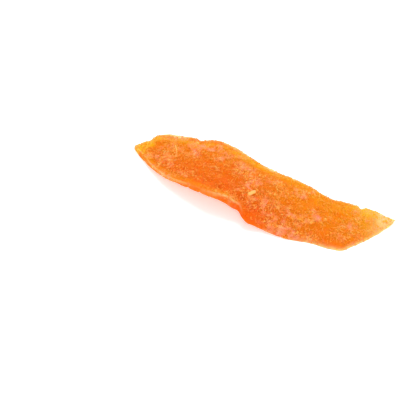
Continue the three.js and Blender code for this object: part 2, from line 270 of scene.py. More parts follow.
# Painted glow: light shining through the thin near edge of the crowned half, painted pale.
PAINTED_GLOW_NEAR_EDGE = [(78, 92, 0.8)]
PAINTED_GLOW_NEAR_REACH = 0.8
PALE_TIP = [(106, 113, 1.0)]
PALE_TIP_NEAR = 0.55
PALE_TIP_ACROSS = 0.7
PALE_FIBRES = 0.9

# Colours, as linear light: the flesh from thick to thin, then the powder, grit, the painted shade of the
# pits, pale marks that are partly painted highlights and glow, and sugar.
FLESH_COLOURS = [
    (0.00, (0.82, 0.117, 0.001, 1)),
    (0.30, (0.83, 0.165, 0.001, 1)),
    (0.60, (0.86, 0.236, 0.001, 1)),
    (1.00, (0.90, 0.445, 0.003, 1)),
]
THIN_FLESH = FLESH_COLOURS[-1][1]
POWDER = (0.98, 0.320, 0.150, 1)
PINK_POWDER = (0.98, 0.310, 0.240, 1)
BARE_GRIT = (0.13, 0.082, 0.016, 1)
FILM_GRIT = (0.13, 0.105, 0.050, 1)
# Painted shade: this multiplier darkens the small pits between the specks, in place of the shade between
# the sugar crystals.
PAINTED_PIT_SHADE = (0.85, 0.78, 0.56, 1)
PALE = (0.98, 0.640, 0.270, 1)
WET_GAIN = (1.15, 1.12, 1.25, 1)
GOLD_SUGAR = (1.0, 0.560, 0.110, 1)
DRY_SUGAR = (1.0, 0.620, 0.230, 1)
PALE_FLECK = (1.0, 0.490, 0.125, 1)
WHITE = (1, 1, 1, 1)
TABLE_WHITE = (0.93, 0.93, 0.93, 1)

# Light that scatters in the flesh: how far it goes in millimetres, and the shares of red, green and blue.
FLESH_SCATTER = 3.0
SCATTER_COLOURS = (1.0, 0.5, 0.15)
FLESH_SHINE = 0.07
SUGAR_SHINE = 0.12

# Patterns in the colours and bumps: size of the lumps in millimetres, detail, roughness, curl.
MOTTLE = (4.0, 3)
CLOUD = (2.2, 2, 0.5, 0.7)
VEINS = (3.0, 1)
GRAIN = (0.4, 3, 0.68)
CURLS = (1.2, 2, 0.5, 0.8)
PALE_BREAKS = (0.9, 3)
GLOSS = (1.2,)
FLESH_BUMPS = (0.45, 4, 0.7)
SUGAR_GLOSS = (0.3,)
FLECK_PATTERN = (0.6, 3)
FLECK_GLOSS = (0.4,)
FLECK_BUMPS = (0.35, 3)
NOISE_MIDDLE = 0.5

# Ranges: two values, and the share that each gives. Values between them give shares between them.
MOTTLE_RANGE = (0.25, 0.75, -0.07, 0.07)
CLOUD_RANGE = (0.40, 0.68, 0.0, 1.0)
VEIN_RANGE = (0.0, 0.07, 0.8, 0.0)
FILM_BY_FROST = (0.2, 0.85, 0.0, 1.0)
FILM_BY_PATTERN = (0.2, 1.3, 0.0, 1.0)
FILM_COVER = 0.85
GRIT_BY_FROST = (0.0, 0.45, 0.6, 1.0)
SPECK_RANGE = (0.50, 0.64, 0.0, 0.40)
PAINTED_PIT_SHADE_RANGE = (0.36, 0.50, 1.0, 0.0)
CURL_RANGE = (0.0, 0.05, 1.0, 0.0)
CURL_BY_FROST = (0.1, 0.6, 0.1, 0.9)
PALE_RANGE = (0.25, 0.6, 0.7, 1.0)
FLESH_ROUGHNESS = (0.3, 1.3, 0.36, 0.70)
DRY_BY_FROST = (0.0, 0.5, 0.5, 1.0)
SUGAR_ROUGHNESS = (0.3, 0.7, 0.18, 0.45)
FLECK_RANGE = (0.2, 0.5, 0.5, 1.0)
FLECK_ROUGHNESS = (0.3, 0.7, 0.4, 0.65)
# Depth of the bumps in millimetres, and their strength.
FLESH_BUMP_DEPTH = (0.22, 0.7)
FLECK_BUMP_DEPTH = (0.15, 0.6)

# The sugar coat: fine blocky crystals, partly sunk in the flesh.
SUGAR_SEED = 41
SUGAR_COUNT = 15000
SUGAR_SMALLEST = 0.24
SUGAR_LARGEST = 0.62
SUGAR_SIZE_EASE = 2.5
SUGAR_SUNK = 0.42
SUGAR_FLATTEST = 0.4
SUGAR_UNEVENNESS = 0.25
SUGAR_ON_BARE = 0.06
SUGAR_FROST_EASE = 1.2
SUGAR_TONE_EASE = 2.0
SHOWN_FROM = 0.3
SIDE_CHANCE = 0.3
SIDE_SIZE = 0.7
EDGE_BARE = 1.2
EDGE_CHANCE = 0.15
RESTING_HEIGHT = 0.15
CUBE_CORNERS = np.array([(x, y, z) for x in (-1, 1) for y in (-1, 1) for z in (-1, 1)]) / 2
CUBE_FACES = np.array([(0, 1, 3, 2), (4, 6, 7, 5), (0, 4, 5, 1), (2, 3, 7, 6), (0, 2, 6, 4), (1, 5, 7, 3)])

# The coarse grains and the loose fleck, both as in the solid, but more finely shaped.
GRAIN_SUNK = 0.25
GRAIN_CHAMFER = 0.16
GRAIN_UNEVENNESS = 0.2
LEAST_TONE = 0.3
FLECK_SIZE = (3.8, 1.6, 0.8)
FLECK_RAISED = 0.28
FLECK_SQUARENESS = 0.6
FLECK_FILL = 0.88
FLECK_SHIFT = (4.2, 0, 0)
FLECK_LUMPS = (1.6, 0.22)
FLECK_FINE_LUMPS = (5, 0.08)
FLECK_SUBDIVISIONS = 5

# Fine wisps of dried syrup, as thin crooked strands that lie on the flesh; the fibres are strands too.
WISP_SEED = 12
WISP_COUNT = 1000
WISP_SHORTEST = 0.9
WISP_LONGEST = 2.6
WISP_RADIUS = 0.15
WISP_THINNEST = 0.7
WISP_THICKEST = 1.3
WISP_BEND = 0.9
WISP_WOBBLE = 0.12
WISP_EDGE_GAP = 1.5
WISP_CROWDING = 1.3
STRAND_RINGS = 10
STRAND_SIDES = 6
STRAND_END = 0.06
STEEPEST = 0.6

# The camera: angles in degrees, distance and aim in millimetres of the slice, lens and sensor in
# millimetres, and the nearest depth shown in metres.
VIEW_AZIMUTH = 21.9
VIEW_ELEVATION = 45.0
VIEW_DISTANCE = 463.2
VIEW_AIM = (-20.30, -10.03, 0.0)
VIEW_LENS = 100.0
VIEW_SENSOR = 36.0
VIEW_START = 0.01

# The soft lights (place and breadth in metres, power in watts), the white room and the white table.
KEY_LIGHT = ((-0.12, 0.40, 0.75), 0.5, 3.9)
FILL_LIGHT = ((0.3, -0.7, 0.5), 0.7, 3.4)
ROOM_LIGHT = 0.60
TABLE_REACH = 3.0
TABLE_ROUGHNESS = 0.7
TABLE_GLOW = 0.3


def bell(distance, width):
    """1 at no distance, 0.37 at the width, and next to nothing from twice the width on."""
    return np.exp(-(distance / width) ** 2)


def bells(distance, table):
    """The sum of soft bumps: the place, width and height of each."""
    return sum(height * bell(distance - at, width) for at, width, height in table)


def spot(along, beside, at, beside_at, reach_along, reach_beside):
    """1 at one place, falling softly to 0 around it."""
    return bell(along - at, reach_along) * bell(beside - beside_at, reach_beside)


def spots(along, beside, table):
    """The sum of soft spots: the place and reach of each, along and beside, and its strength."""
    return sum(strength * spot(along, beside, *place) for *place, strength in table)


def smooth_step(value, low, high):
    """0 up to low, 1 from high on, and a smooth rise between them."""
    t = np.clip((value - low) / (high - low), 0, 1)
    return t * t * (3 - 2 * t)


def rises(value, table):
    """The sum of smooth rises: where each starts and ends, and how much it adds."""
    return sum(change * smooth_step(value, low, high) for low, high, change in table)


def random_stream(seed):
    """The same repeatable numbers from 0 to 1 as the solid's source draws."""
    state = seed
    while True:
        state = (state * STREAM_FACTOR + STREAM_STEP) % STREAM_RANGE
        yield state / STREAM_RANGE


def section_size(column, along):
    """One size of the cross-sections, blended smoothly along the slice."""
    at = SECTIONS[:, 0]
    value = SECTIONS[:, column]
    last = len(at) - 1
    i = np.clip(np.searchsorted(at, along, side="left") - 1, 0, last - 1)
    before = np.clip(np.arange(last + 1) - 1, 0, last)
    after = np.clip(np.arange(last + 1) + 1, 0, last)
    slope = (value[after] - value[before]) / (at[after] - at[before])
    span = at[i + 1] - at[i]
    t = (along - at[i]) / span
    t2 = t * t
    t3 = t2 * t
    return ((2 * t3 - 3 * t2 + 1) * value[i] + (t3 - 2 * t2 + t) * span * slope[i]
            + (3 * t2 - 2 * t3) * value[i + 1] + (t3 - t2) * span * slope[i + 1])


def end_round(along):
    """Narrows the outline to nothing at the two rounded tips."""
    blunt = np.clip(along / BLUNT_TIP_ROUND, 0, 1)
    thin = np.clip((LENGTH - along) / THIN_TIP_ROUND, 0, 1)
    return np.sqrt(1 - (1 - blunt) ** 2) * np.sqrt(1 - (1 - thin) ** 2)


def far_edge(along):
    return (section_size(FAR, along) + bells(along, FAR_NICKS)) * end_round(along)


def near_edge(along):
    return (section_size(NEAR, along) - bells(along, NEAR_NICKS)) * end_round(along)


def edge_distances(along, across):
    """Distance from the far and the near edge, measured square to it."""
    low = np.maximum(along - SLOPE_REACH, 0)
    high = np.minimum(along + SLOPE_REACH, LENGTH)
    far_slope = (far_edge(high) - far_edge(low)) / (high - low)
    near_slope = (near_edge(high) - near_edge(low)) / (high - low)
    return (np.maximum(far_edge(along) - across, 0) / np.hypot(1, far_slope),
            np.maximum(across - near_edge(along), 0) / np.hypot(1, near_slope))


def lip_share(along):
    """How high the raised lip stands: 1 round the dished end, falling to 0 at LIP_END."""
    return np.clip((LIP_END - along) / LIP_FADE, 0, 1) ** LIP_EASE


def round_over(distance, radius):
    """The rise of a rounded edge, from 0 at the edge to 1 at its radius."""
    t = np.clip(distance / radius, 0, 1)
    return np.sqrt(1 - (1 - t) ** 2)


def make_waves():
    """The soft waves of the shrunken flesh, by the same draws as in the solid."""
    draw = random_stream(WAVE_SEED)
    waves = []
    for _ in range(WAVE_COUNT):
        along = 2 * math.pi / (WAVE_ALONG * (WAVE_SHORTEST_ALONG + next(draw)))
        sign = -1 if next(draw) < 0.5 else 1
        stretch = WAVE_SHORTEST_ACROSS + WAVE_SPREAD_ACROSS * next(draw)
        across = sign * 2 * math.pi / (WAVE_ACROSS * stretch)
        waves.append((along, across, 2 * math.pi * next(draw)))
    return waves


WAVES = make_waves()


def wave_relief(along, across):
    return sum(WAVE_RISE * np.sin(along * a + across * c + phase) for a, c, phase in WAVES)


def ledge_inset(along, share):
    """How much further in the rim stands where the near wall juts out under it."""
    return LEDGE_INSET * bell(along - LEDGE_AT, LEDGE_WIDTH) * np.clip(1 - share / LEDGE_BREADTH, 0, 1)


def share_of_breadth(along, across):
    """0 at the near edge and 1 at the far edge."""
    near = near_edge(along)
    breadth = far_edge(along) - near
    wide = breadth > LEAST_BREADTH
    return np.where(wide, np.clip((across - near) / np.where(wide, breadth, 1), 0, 1), 0.5)


def heights(along, across):
    """Height of the shown face and of the underside."""
    share = share_of_breadth(along, across)
    far_distance, near_distance = edge_distances(along, across)
    inward = np.minimum(far_distance, near_distance)
    wall = section_size(NEAR_WALL, along) * (1 - share) + section_size(FAR_WALL, along) * share
    middle = (4 * share * (1 - share)) ** MIDDLE_FLATNESS
    flesh = wall * (1 - middle) + section_size(FLESH, along) * middle

    rolled = (1 - lip_share(along)) * np.clip(1 - share / ROLLED_BREADTH, 0, 1)
    ledge = ledge_inset(along, share)
    top_round = TOP_ROUND + (ROLLED_ROUND - TOP_ROUND) * rolled + ledge
    lip = LIP_HEIGHT * lip_share(along) * bell(inward - LIP_INSET - ledge, LIP_WIDTH)

    lift = section_size(NEAR_LIFT, along) * (1 - share) + section_size(FAR_LIFT, along) * share
    floorless = lift + section_size(CROWN, along) * 4 * share * (1 - share)
    below = WALL_SHARE_BELOW * wall
    rim = floorless + below
    calm = np.clip(inward / CALM_BORDER, 0, 1)
    waviness = calm * wave_relief(along, across)
    relief = waviness + calm * spots(along, across, DENTS)
    top = rim + (flesh - below + lip) * round_over(inward, top_round) + relief
    under = rim - below * round_over(inward, UNDER_ROUND) + UNDER_WAVE_SHARE * waviness
    return np.maximum(top, 0), np.maximum(under, 0)


def stations_along():
    """Places along the slice, closer together near its two ends."""
    fine = np.linspace(0, LENGTH, STATION_STEPS + 1)
    blunt = 1 - np.exp(-fine / END_REACH)
    thin = np.exp((fine - LENGTH) / END_REACH) - math.exp(-LENGTH / END_REACH)
    count = fine + END_FINENESS * END_REACH * (blunt + thin)
    wanted = np.linspace(0, count[-1], STEPS_ALONG + 1)
    return np.interp(wanted, count, fine)


def outline_middle():
    """Half-way between the furthest reach of the two edges, which is where the frame has its origin."""
    fine = np.linspace(0, LENGTH, OUTLINE_STEPS + 1)
    return (far_edge(fine).max() + near_edge(fine).min()) / 2


ACROSS_MIDDLE = outline_middle()


def to_frame(along, across, height):
    """Places on the slice, in millimetres, as points of the frame."""
    points = np.stack([along - LENGTH / 2, across - ACROSS_MIDDLE, height], axis=-1)
    return points * MM


def face_rows(steps, shown_face):
    """Rows of places across one face, closer together near the two edges, and their heights."""
    along = stations_along()[:, None]
    share = 0.5 + 0.5 * np.sin(np.pi * (np.arange(steps + 1) / steps - 0.5))[None, :]
    near = near_edge(along)
    across = near + (far_edge(along) - near) * share
    along = np.broadcast_to(along, across.shape)
    top, under = heights(along, across)
    return along, across, top if shown_face else under


def make_flesh_mesh():
    """Both faces as one closed quad mesh, joined along the widest line of the wall and at the tips."""
    top_along, top_across, top = face_rows(TOP_STEPS_ACROSS, True)
    under_along, under_across, under = face_rows(UNDER_STEPS_ACROSS, False)
    rows = STEPS_ALONG + 1
    top_columns = TOP_STEPS_ACROSS + 1
    under_columns = UNDER_STEPS_ACROSS + 1
    top_index = np.arange(rows * top_columns).reshape(rows, top_columns)
    under_index = rows * top_columns + np.arange(rows * under_columns).reshape(rows, under_columns)
    under_index[:, 0] = top_index[:, 0]
    under_index[:, -1] = top_index[:, -1]
    for tip in (0, -1):
        top_index[tip, :] = top_index[tip, 0]
        under_index[tip, :] = top_index[tip, 0]
    along = np.concatenate([top_along.ravel(), under_along.ravel()])
    across = np.concatenate([top_across.ravel(), under_across.ravel()])
    points = to_frame(along, across, np.concatenate([top.ravel(), under.ravel()]))
    faces = []
    for index, order in ((top_index, (0, 1, 2, 3)), (under_index, (3, 2, 1, 0))):
        corners = (index[:-1, :-1], index[1:, :-1], index[1:, 1:], index[:-1, 1:])
        faces.append(np.stack([corners[k].ravel() for k in order], axis=1))
    quads = np.concatenate(faces)
    used, renumbered = np.unique(quads, return_inverse=True)
    renumbered = renumbered.reshape(quads.shape)
    polygons = []
    for quad in renumbered:
        corners = list(dict.fromkeys(quad.tolist()))
        if len(corners) > 2:
            polygons.append(corners)
    mesh = bpy.data.meshes.new("flesh")
    mesh.from_pydata(points[used].tolist(), [], polygons)
    mesh.shade_smooth()
    return mesh, along[used], across[used]


def vertex_points(mesh):
    points = np.empty(len(mesh.vertices) * 3)
    mesh.vertices.foreach_get("co", points)
    return points.reshape(-1, 3)


def vertex_normals(mesh):
    normals = np.empty(len(mesh.vertices) * 3)
    mesh.vertices.foreach_get("normal", normals)
    return normals.reshape(-1, 3)


def lumps(points, size, height, offset):
    """Smooth noise of this height at points in millimetres; size is how large its lumps are."""
    stretch = 1 / np.broadcast_to(np.asarray(size, float), 3)
    moved = points * stretch + offset
    return height * np.array([noise.noise(Vector(place)) for place in moved])


def distance_to_line(along, across, line):
    nearest = np.full(along.shape, 1e9)
    for (a0, c0), (a1, c1) in zip(line, line[1:]):
        length2 = (a1 - a0) ** 2 + (c1 - c0) ** 2
        t = np.clip(((along - a0) * (a1 - a0) + (across - c0) * (c1 - c0)) / length2, 0, 1)
        gap = np.hypot(along - a0 - t * (a1 - a0), across - c0 - t * (c1 - c0))
        nearest = np.minimum(nearest, gap)
    return nearest


def fibre_share(along, across):
    return sum(bell(distance_to_line(along, across, line), FIBRE_WIDTH) for line in FIBRES)


def crease_share(along, across):
    return sum(bell(distance_to_line(along, across, line), width) for line, width in CREASES)


def rim_cut(along, near_distance):
    """A small cut in the raised rim of the near edge."""
    return bell(along - RIM_CUT_AT, RIM_CUT_WIDTH) * bell(near_distance, RIM_CUT_REACH)


def pink_patches(along, across):
    return sum(spot(along, across, *patch) for patch in PINK_PATCHES)


def pink_share(along, across, points):
    """How pink the powder makes the flesh, from 0 to 1."""
    return np.clip(PINK_STRENGTH * pink_patches(along, across) + lumps(points, *PINK_CLOUD), 0, 1)


def frost_share(along, across, points):
    """How thick the sugar lies, from 0 to 1."""
    patches = FROST_BASE + spots(along, across, FROST_PATCHES)
    patches += FROST_ON_PINK * pink_patches(along, across) + FROST_ON_CREASES * crease_share(along, across)
    return np.clip(patches + lumps(points, *FROST_CLOUD) + lumps(points, *FROST_FINE_CLOUD), 0, 1)


def roughen(mesh, along, across):
    """Pushes the flesh in and out along its normals: wrinkles, crust, ridges, and uneven edges."""
    points = vertex_points(mesh)
    normals = vertex_normals(mesh)
    local = points / MM
    far_distance, near_distance = edge_distances(along, across)
    rim = bell(np.minimum(far_distance, near_distance), RIM_REACH)
    shown = np.clip(normals[:, 2] * SHOWN_GAIN, 0, 1)
    push = lumps(local, *WRINKLES)
    push += (1 - RIM_CALM * rim) * (lumps(local, *CRUST) + lumps(local, *FINE_CRUST))
    push += rim * lumps(local, *RIM_LUMPS)
    push += shown * (FIBRE_RISE * fibre_share(along, across) + CREASE_RISE * crease_share(along, across))
    push -= RIM_CUT_DEPTH * rim_cut(along, near_distance)
    points += normals * (push * MM)[:, None]
    torn = bell(along - FRAY_AT, FRAY_WIDTH) * bell(far_distance, FRAY_REACH)
    points[:, 2] += FRAY_RISE * torn * (FRAY_BODY + lumps(local, *FRAY_LUMPS)) * MM
    points[:, 2] = np.maximum(points[:, 2], 0)
    mesh.vertices.foreach_set("co", points.ravel())
    mesh.update()


def add_share(mesh, name, values):
    attribute = mesh.attributes.new(name, "FLOAT", "POINT")
    attribute.data.foreach_set("value", values.astype(np.float32))


def yellow_share(along, across):
    """From 0, the deep red-orange of thick flesh, to 1, the yellow of the thin edges; the shaded near wall
    of the dished end is painted yellower, as painted light.
    """
    far_distance, near_distance = edge_distances(along, across)
    base = YELLOW_BASE + YELLOW_ACROSS * share_of_breadth(along, across) + rises(along, YELLOW_RISES)
    base += spots(along, across, YELLOW_SPOTS) + spots(along, far_distance, YELLOW_EDGE_SPOTS)
    # painted light on the shaded near wall of the dished end
    near_wall_painted_light = NEAR_WALL_PAINTED_LIGHT * (1 - smooth_step(along, *NEAR_WALL_END))
    base += near_wall_painted_light * bell(near_distance, NEAR_WALL_REACH)
    marks = [
        spots(along, far_distance, YELLOW_FAR_BAND),
        spots(along, far_distance, YELLOW_BLUNT_BAND),
        spots(along, across, YELLOW_BLUNT_LOBES),
        spots(along, across, YELLOW_THIN_LOBE),
        rises(along, YELLOW_THIN_TIP),
        lip_share(along) * (bells(near_distance, LIP_NEAR_BAND) + bells(far_distance, LIP_FAR_BAND)),
    ]
    return np.clip(base + np.maximum.reduce(marks), 0, 1)


def rim_pale_and_highlight_line(along, near_distance, share):
    """The crisp pale line on the crest of the raised near rim, partly its own pale colour and partly a
    painted highlight where the crest catches the light, with the gap at its cut.
    """
    rim_at = RIM_LINE_INSET + bells(along, RIM_LINE_SHIFTS) + ledge_inset(along, share)
    line = RIM_LINE_STRENGTH * bell(near_distance - rim_at, RIM_LINE_WIDTH)
    line *= lip_share(along) ** RIM_LINE_EASE * (1 + bells(along, RIM_LINE_CHANGES))
    line *= 1 - RIM_LINE_CUT * rim_cut(along, near_distance)
    return line * (1 - smooth_step(along, *RIM_LINE_END))


def pale_share(along, across, normals):
    """The pale lines of both edges, partly painted highlights where the raised rims catch the light, the
    painted glow of the thin near edge, the frayed stretch, the thin tip and the fibres.
    """
    far_distance, near_distance = edge_distances(along, across)
    share = share_of_breadth(along, across)
    faces_up = np.clip(normals[:, 2] * FACING_GAIN, 0, 1)
    far_pale_and_highlight_line = FAR_LINE_STRENGTH + bells(along, FAR_LINE_CHANGES)
    marks = [
        # partly painted highlight: the pale crest of the near rim, on faces that look up
        faces_up * rim_pale_and_highlight_line(along, near_distance, share),
        faces_up * PALE_FIBRES * fibre_share(along, across),
        # partly painted highlight: the pale line of the far rim
        far_pale_and_highlight_line * bell(far_distance - FAR_LINE_INSET, FAR_LINE_WIDTH),
        spots(along, far_distance, PALE_FAR_RIM),
        spots(along, far_distance, PALE_FRAY),
        spots(along, across, PALE_LOBE),
        # painted glow along the thin near edge of the crowned half
        rises(along, PAINTED_GLOW_NEAR_EDGE) * bell(near_distance, PAINTED_GLOW_NEAR_REACH),
        rises(along, PALE_TIP) * (PALE_TIP_NEAR + PALE_TIP_ACROSS * share),
    ]
    return np.clip(np.maximum.reduce(marks), 0, 1)


def mark_coat(mesh, points, copies=1):
    """The shares that colour a mesh; each point of the frame stands for this many vertices in a row."""
    local = points / MM
    along = np.clip(local[:, 0] + LENGTH / 2, 0, LENGTH)
    across = local[:, 1] + ACROSS_MIDDLE
    add_share(mesh, "yellow", np.repeat(yellow_share(along, across), copies))
    add_share(mesh, "frost", np.repeat(frost_share(along, across, local), copies))
    add_share(mesh, "pink", np.repeat(pink_share(along, across, local), copies))


class Nodes:
    """A small helper that adds and joins shader nodes."""

    def __init__(self, name):
        self.material = bpy.data.materials.new(name)
        self.material.use_nodes = True
        self.tree = self.material.node_tree
        self.shader = self.tree.nodes["Principled BSDF"]

    def add(self, kind, inputs=(), **settings):
        node = self.tree.nodes.new(kind)
        for key, value in settings.items():
            setattr(node, key, value)
        self.fill(node, dict(inputs))
        return node

    def fill(self, node, inputs):
        for key, value in inputs.items():
            self.put(node.inputs[key], value)

    def put(self, socket, value):
        """Gives an input a fixed value, or joins it to another node's output."""
        if isinstance(value, bpy.types.NodeSocket):
            self.tree.links.new(value, socket)
        else:
            socket.default_value = value

    def attribute(self, name):
        return self.add("ShaderNodeAttribute", attribute_name=name).outputs["Fac"]

    def noise(self, size, detail=2.0, roughness=0.5, curl=0.0):
        """Noise whose lumps are about this many millimetres."""
        place = self.add("ShaderNodeTexCoord").outputs["Object"]
        node = self.add("ShaderNodeTexNoise",
                        {"Vector": place, "Scale": 0.5 / (size * MM), "Detail": detail,
                         "Roughness": roughness, "Distortion": curl})
        return node.outputs["Fac"]

    def spread(self, value, low, high, to_low, to_high):
        """A share that goes from to_low to to_high while the value goes from low to high."""
        node = self.add("ShaderNodeMapRange",
                        {"Value": value, "From Min": low, "From Max": high,
                         "To Min": to_low, "To Max": to_high}, clamp=True)
        return node.outputs["Result"]

    def work_out(self, operation, *values, clamp=False):
        node = self.add("ShaderNodeMath", operation=operation, use_clamp=clamp)
        for socket, value in zip(node.inputs, values):
            self.put(socket, value)
        return node.outputs[0]

    def times(self, a, b):
        return self.work_out("MULTIPLY", a, b, clamp=True)

    def plus(self, a, b):
        return self.work_out("ADD", a, b)

    def apart(self, a, b):
        """How far one value is from another."""
        return self.work_out("ABSOLUTE", self.work_out("SUBTRACT", a, b))

    def mix(self, share, a, b, blend="MIX"):
        node = self.add("ShaderNodeMix", data_type="RGBA", blend_type=blend)
        self.put(node.inputs["Factor"], share)
        self.put(node.inputs["A"], a)
        self.put(node.inputs["B"], b)
        return node.outputs["Result"]

    def ramp(self, value, stops):
        """Colours that change with the value, blended between the stops."""
        node = self.add("ShaderNodeValToRGB", {"Fac": value})
        elements = node.color_ramp.elements
        for place, _ in stops[2:]:
            elements.new(place)
        for element, (place, colour) in zip(elements, stops):
            element.position = place
            element.color = colour
        return node.outputs["Color"]

    def bump(self, height, depth, strength):
        node = self.add("ShaderNodeBump", {"Height": height, "Distance": depth * MM, "Strength": strength})
        return node.outputs["Normal"]


def filmed_flesh(n):
    """The colour of the flesh under its thin, cloudy film of powder sugar, and the share of the film."""
    mottle = n.spread(n.noise(*MOTTLE), *MOTTLE_RANGE)
    colour = n.ramp(n.plus(n.attribute("yellow"), mottle), FLESH_COLOURS)
    cloud = n.spread(n.noise(*CLOUD), *CLOUD_RANGE)
    veins = n.spread(n.apart(n.noise(*VEINS), NOISE_MIDDLE), *VEIN_RANGE)
    pattern = n.spread(n.plus(cloud, veins), *FILM_BY_PATTERN)
    film = n.times(n.spread(n.attribute("frost"), *FILM_BY_FROST), pattern)
    powder = n.mix(n.attribute("pink"), POWDER, PINK_POWDER)
    return n.mix(n.times(film, FILM_COVER), colour, powder), film


def add_grit_and_pit_shade(n, colour, film):
    """Light specks and curled crust on the frosted flesh, and small brown pits of painted shade between the
    specks, standing in for the shade between the crystals.
    """
    grain = n.noise(*GRAIN)
    amount = n.spread(n.attribute("frost"), *GRIT_BY_FROST)
    specks = n.times(n.spread(grain, *SPECK_RANGE), amount)
    curls = n.spread(n.apart(n.noise(*CURLS), NOISE_MIDDLE), *CURL_RANGE)
    crust = n.times(curls, n.spread(n.attribute("frost"), *CURL_BY_FROST))
    grit = n.mix(film, BARE_GRIT, FILM_GRIT)
    # painted shade: the small pits between the specks are darkened
    painted_pit_shade = n.times(n.spread(grain, *PAINTED_PIT_SHADE_RANGE), amount)
    return n.mix(painted_pit_shade, n.mix(n.plus(specks, crust), colour, grit, "ADD"), PAINTED_PIT_SHADE, "MULTIPLY")


def flesh_material():
    """Translucent orange flesh with a film of sugar, grit, painted shade in small pits, and pale edges that
    are partly painted highlights and glow.
    """
    n = Nodes("mango_flesh")
    colour, film = filmed_flesh(n)
    pale = n.times(n.attribute("pale"), n.spread(n.noise(*PALE_BREAKS), *PALE_RANGE))
    colour = n.mix(pale, add_grit_and_pit_shade(n, colour, film), PALE)
    roughness = n.spread(n.plus(film, n.noise(*GLOSS)), *FLESH_ROUGHNESS)
    bump = n.bump(n.noise(*FLESH_BUMPS), *FLESH_BUMP_DEPTH)
    n.fill(n.shader, {
        "Base Color": colour,
        "Roughness": roughness,
        "Specular IOR Level": FLESH_SHINE,
        "Normal": bump,
        "Subsurface Weight": 1.0,
        "Subsurface Radius": SCATTER_COLOURS,
        "Subsurface Scale": FLESH_SCATTER * MM,
    })
    return n.material


def sugar_material():
    """Sugar that takes the colour of the wet flesh under it, or shows its own where it is dry."""
    n = Nodes("sugar")
    under, film = filmed_flesh(n)
    wet = n.mix(1.0, under, WET_GAIN, "MULTIPLY")
    dry = n.mix(film, GOLD_SUGAR, DRY_SUGAR)
    dryness = n.times(n.attribute("tone"), n.spread(n.attribute("frost"), *DRY_BY_FROST))
    roughness = n.spread(n.noise(*SUGAR_GLOSS), *SUGAR_ROUGHNESS)
    n.fill(n.shader, {
        "Base Color": n.mix(dryness, wet, dry),
        "Roughness": roughness,
        "Specular IOR Level": SUGAR_SHINE,
    })
    return n.material


def fleck_material():
    """Pale dry flesh, blotched with the yellow of the thin edges."""
    n = Nodes("dry_flesh")
    colour = n.mix(n.spread(n.noise(*FLECK_PATTERN), *FLECK_RANGE), THIN_FLESH, PALE_FLECK)
    roughness = n.spread(n.noise(*FLECK_GLOSS), *FLECK_ROUGHNESS)
    bump = n.bump(n.noise(*FLECK_BUMPS), *FLECK_BUMP_DEPTH)
    n.fill(n.shader, {"Base Color": colour, "Roughness": roughness, "Normal": bump})
    return n.material


def table_material():
    n = Nodes("white_table")
    n.fill(n.shader, {
        "Base Color": TABLE_WHITE,
        "Roughness": TABLE_ROUGHNESS,
        "Emission Color": WHITE,
        "Emission Strength": TABLE_GLOW,
    })
    return n.material


def surface_samples(mesh, random, count, weight):
    """Random places on a mesh with the normals there; weight is the chance at each vertex."""
    mesh.calc_loop_triangles()
    triangles = np.empty(len(mesh.loop_triangles) * 3, int)
    mesh.loop_triangles.foreach_get("vertices", triangles)
    triangles = triangles.reshape(-1, 3)
    points = vertex_points(mesh)
    a, b, c = (points[triangles[:, k]] for k in range(3))
    area = np.linalg.norm(np.cross(b - a, c - a), axis=1)
    chance = area * weight[triangles].mean(axis=1)
    chosen = random.choice(len(triangles), size=count, p=chance / chance.sum())
    u = np.sqrt(random.random(count))
    v = random.random(count)
    shares = np.stack([1 - u, u * (1 - v), u * v], axis=1)
    places = (points[triangles[chosen]] * shares[:, :, None]).sum(axis=1)
    normals = (vertex_normals(mesh)[triangles[chosen]] * shares[:, :, None]).sum(axis=1)
    normals /= np.linalg.norm(normals, axis=1, keepdims=True)
    return places, normals


def turn_by(quaternions, points):
    """Turns each row of points by its own quaternion."""
    w = quaternions[:, None, :1]
    axis = quaternions[:, None, 1:]
    twice = 2 * np.cross(axis, points)
    return points + w * twice + np.cross(axis, twice)


def random_turns(random, count):
    turns = random.normal(size=(count, 4))
    return turns / np.linalg.norm(turns, axis=1, keepdims=True)


def joined_copies(name, corners, faces):
    """One mesh of many copies: a row of points for each, and the faces that all of them share.

    Points below the table are raised to it.
    """
    count, size = corners.shape[:2]
    polygons = [(face + size * k).tolist() for k in range(count) for face in faces]
    corners = corners.copy()
    corners[..., 2] = np.maximum(corners[..., 2], 0)
    mesh = bpy.data.meshes.new(name)
    mesh.from_pydata(corners.reshape(-1, 3).tolist(), [], polygons)
    return mesh


def share_at_vertices(mesh, name):
    values = np.empty(len(mesh.vertices), np.float32)
    mesh.attributes[name].data.foreach_get("value", values)
    return values


def sugar_weight(flesh, inward):
    """The chance of a crystal at each vertex: most on frost, little at the edges, none where it rests."""
    facing = vertex_normals(flesh)[:, 2]
    resting = vertex_points(flesh)[:, 2] < RESTING_HEIGHT * MM
    by_edge = EDGE_CHANCE + (1 - EDGE_CHANCE) * np.clip(inward / EDGE_BARE, 0, 1) ** 2
    by_frost = SUGAR_ON_BARE + share_at_vertices(flesh, "frost") ** SUGAR_FROST_EASE
    weight = by_frost * np.where(facing > SHOWN_FROM, 1.0, SIDE_CHANCE) * by_edge
    weight[resting & (facing < 0)] = 0
    return weight


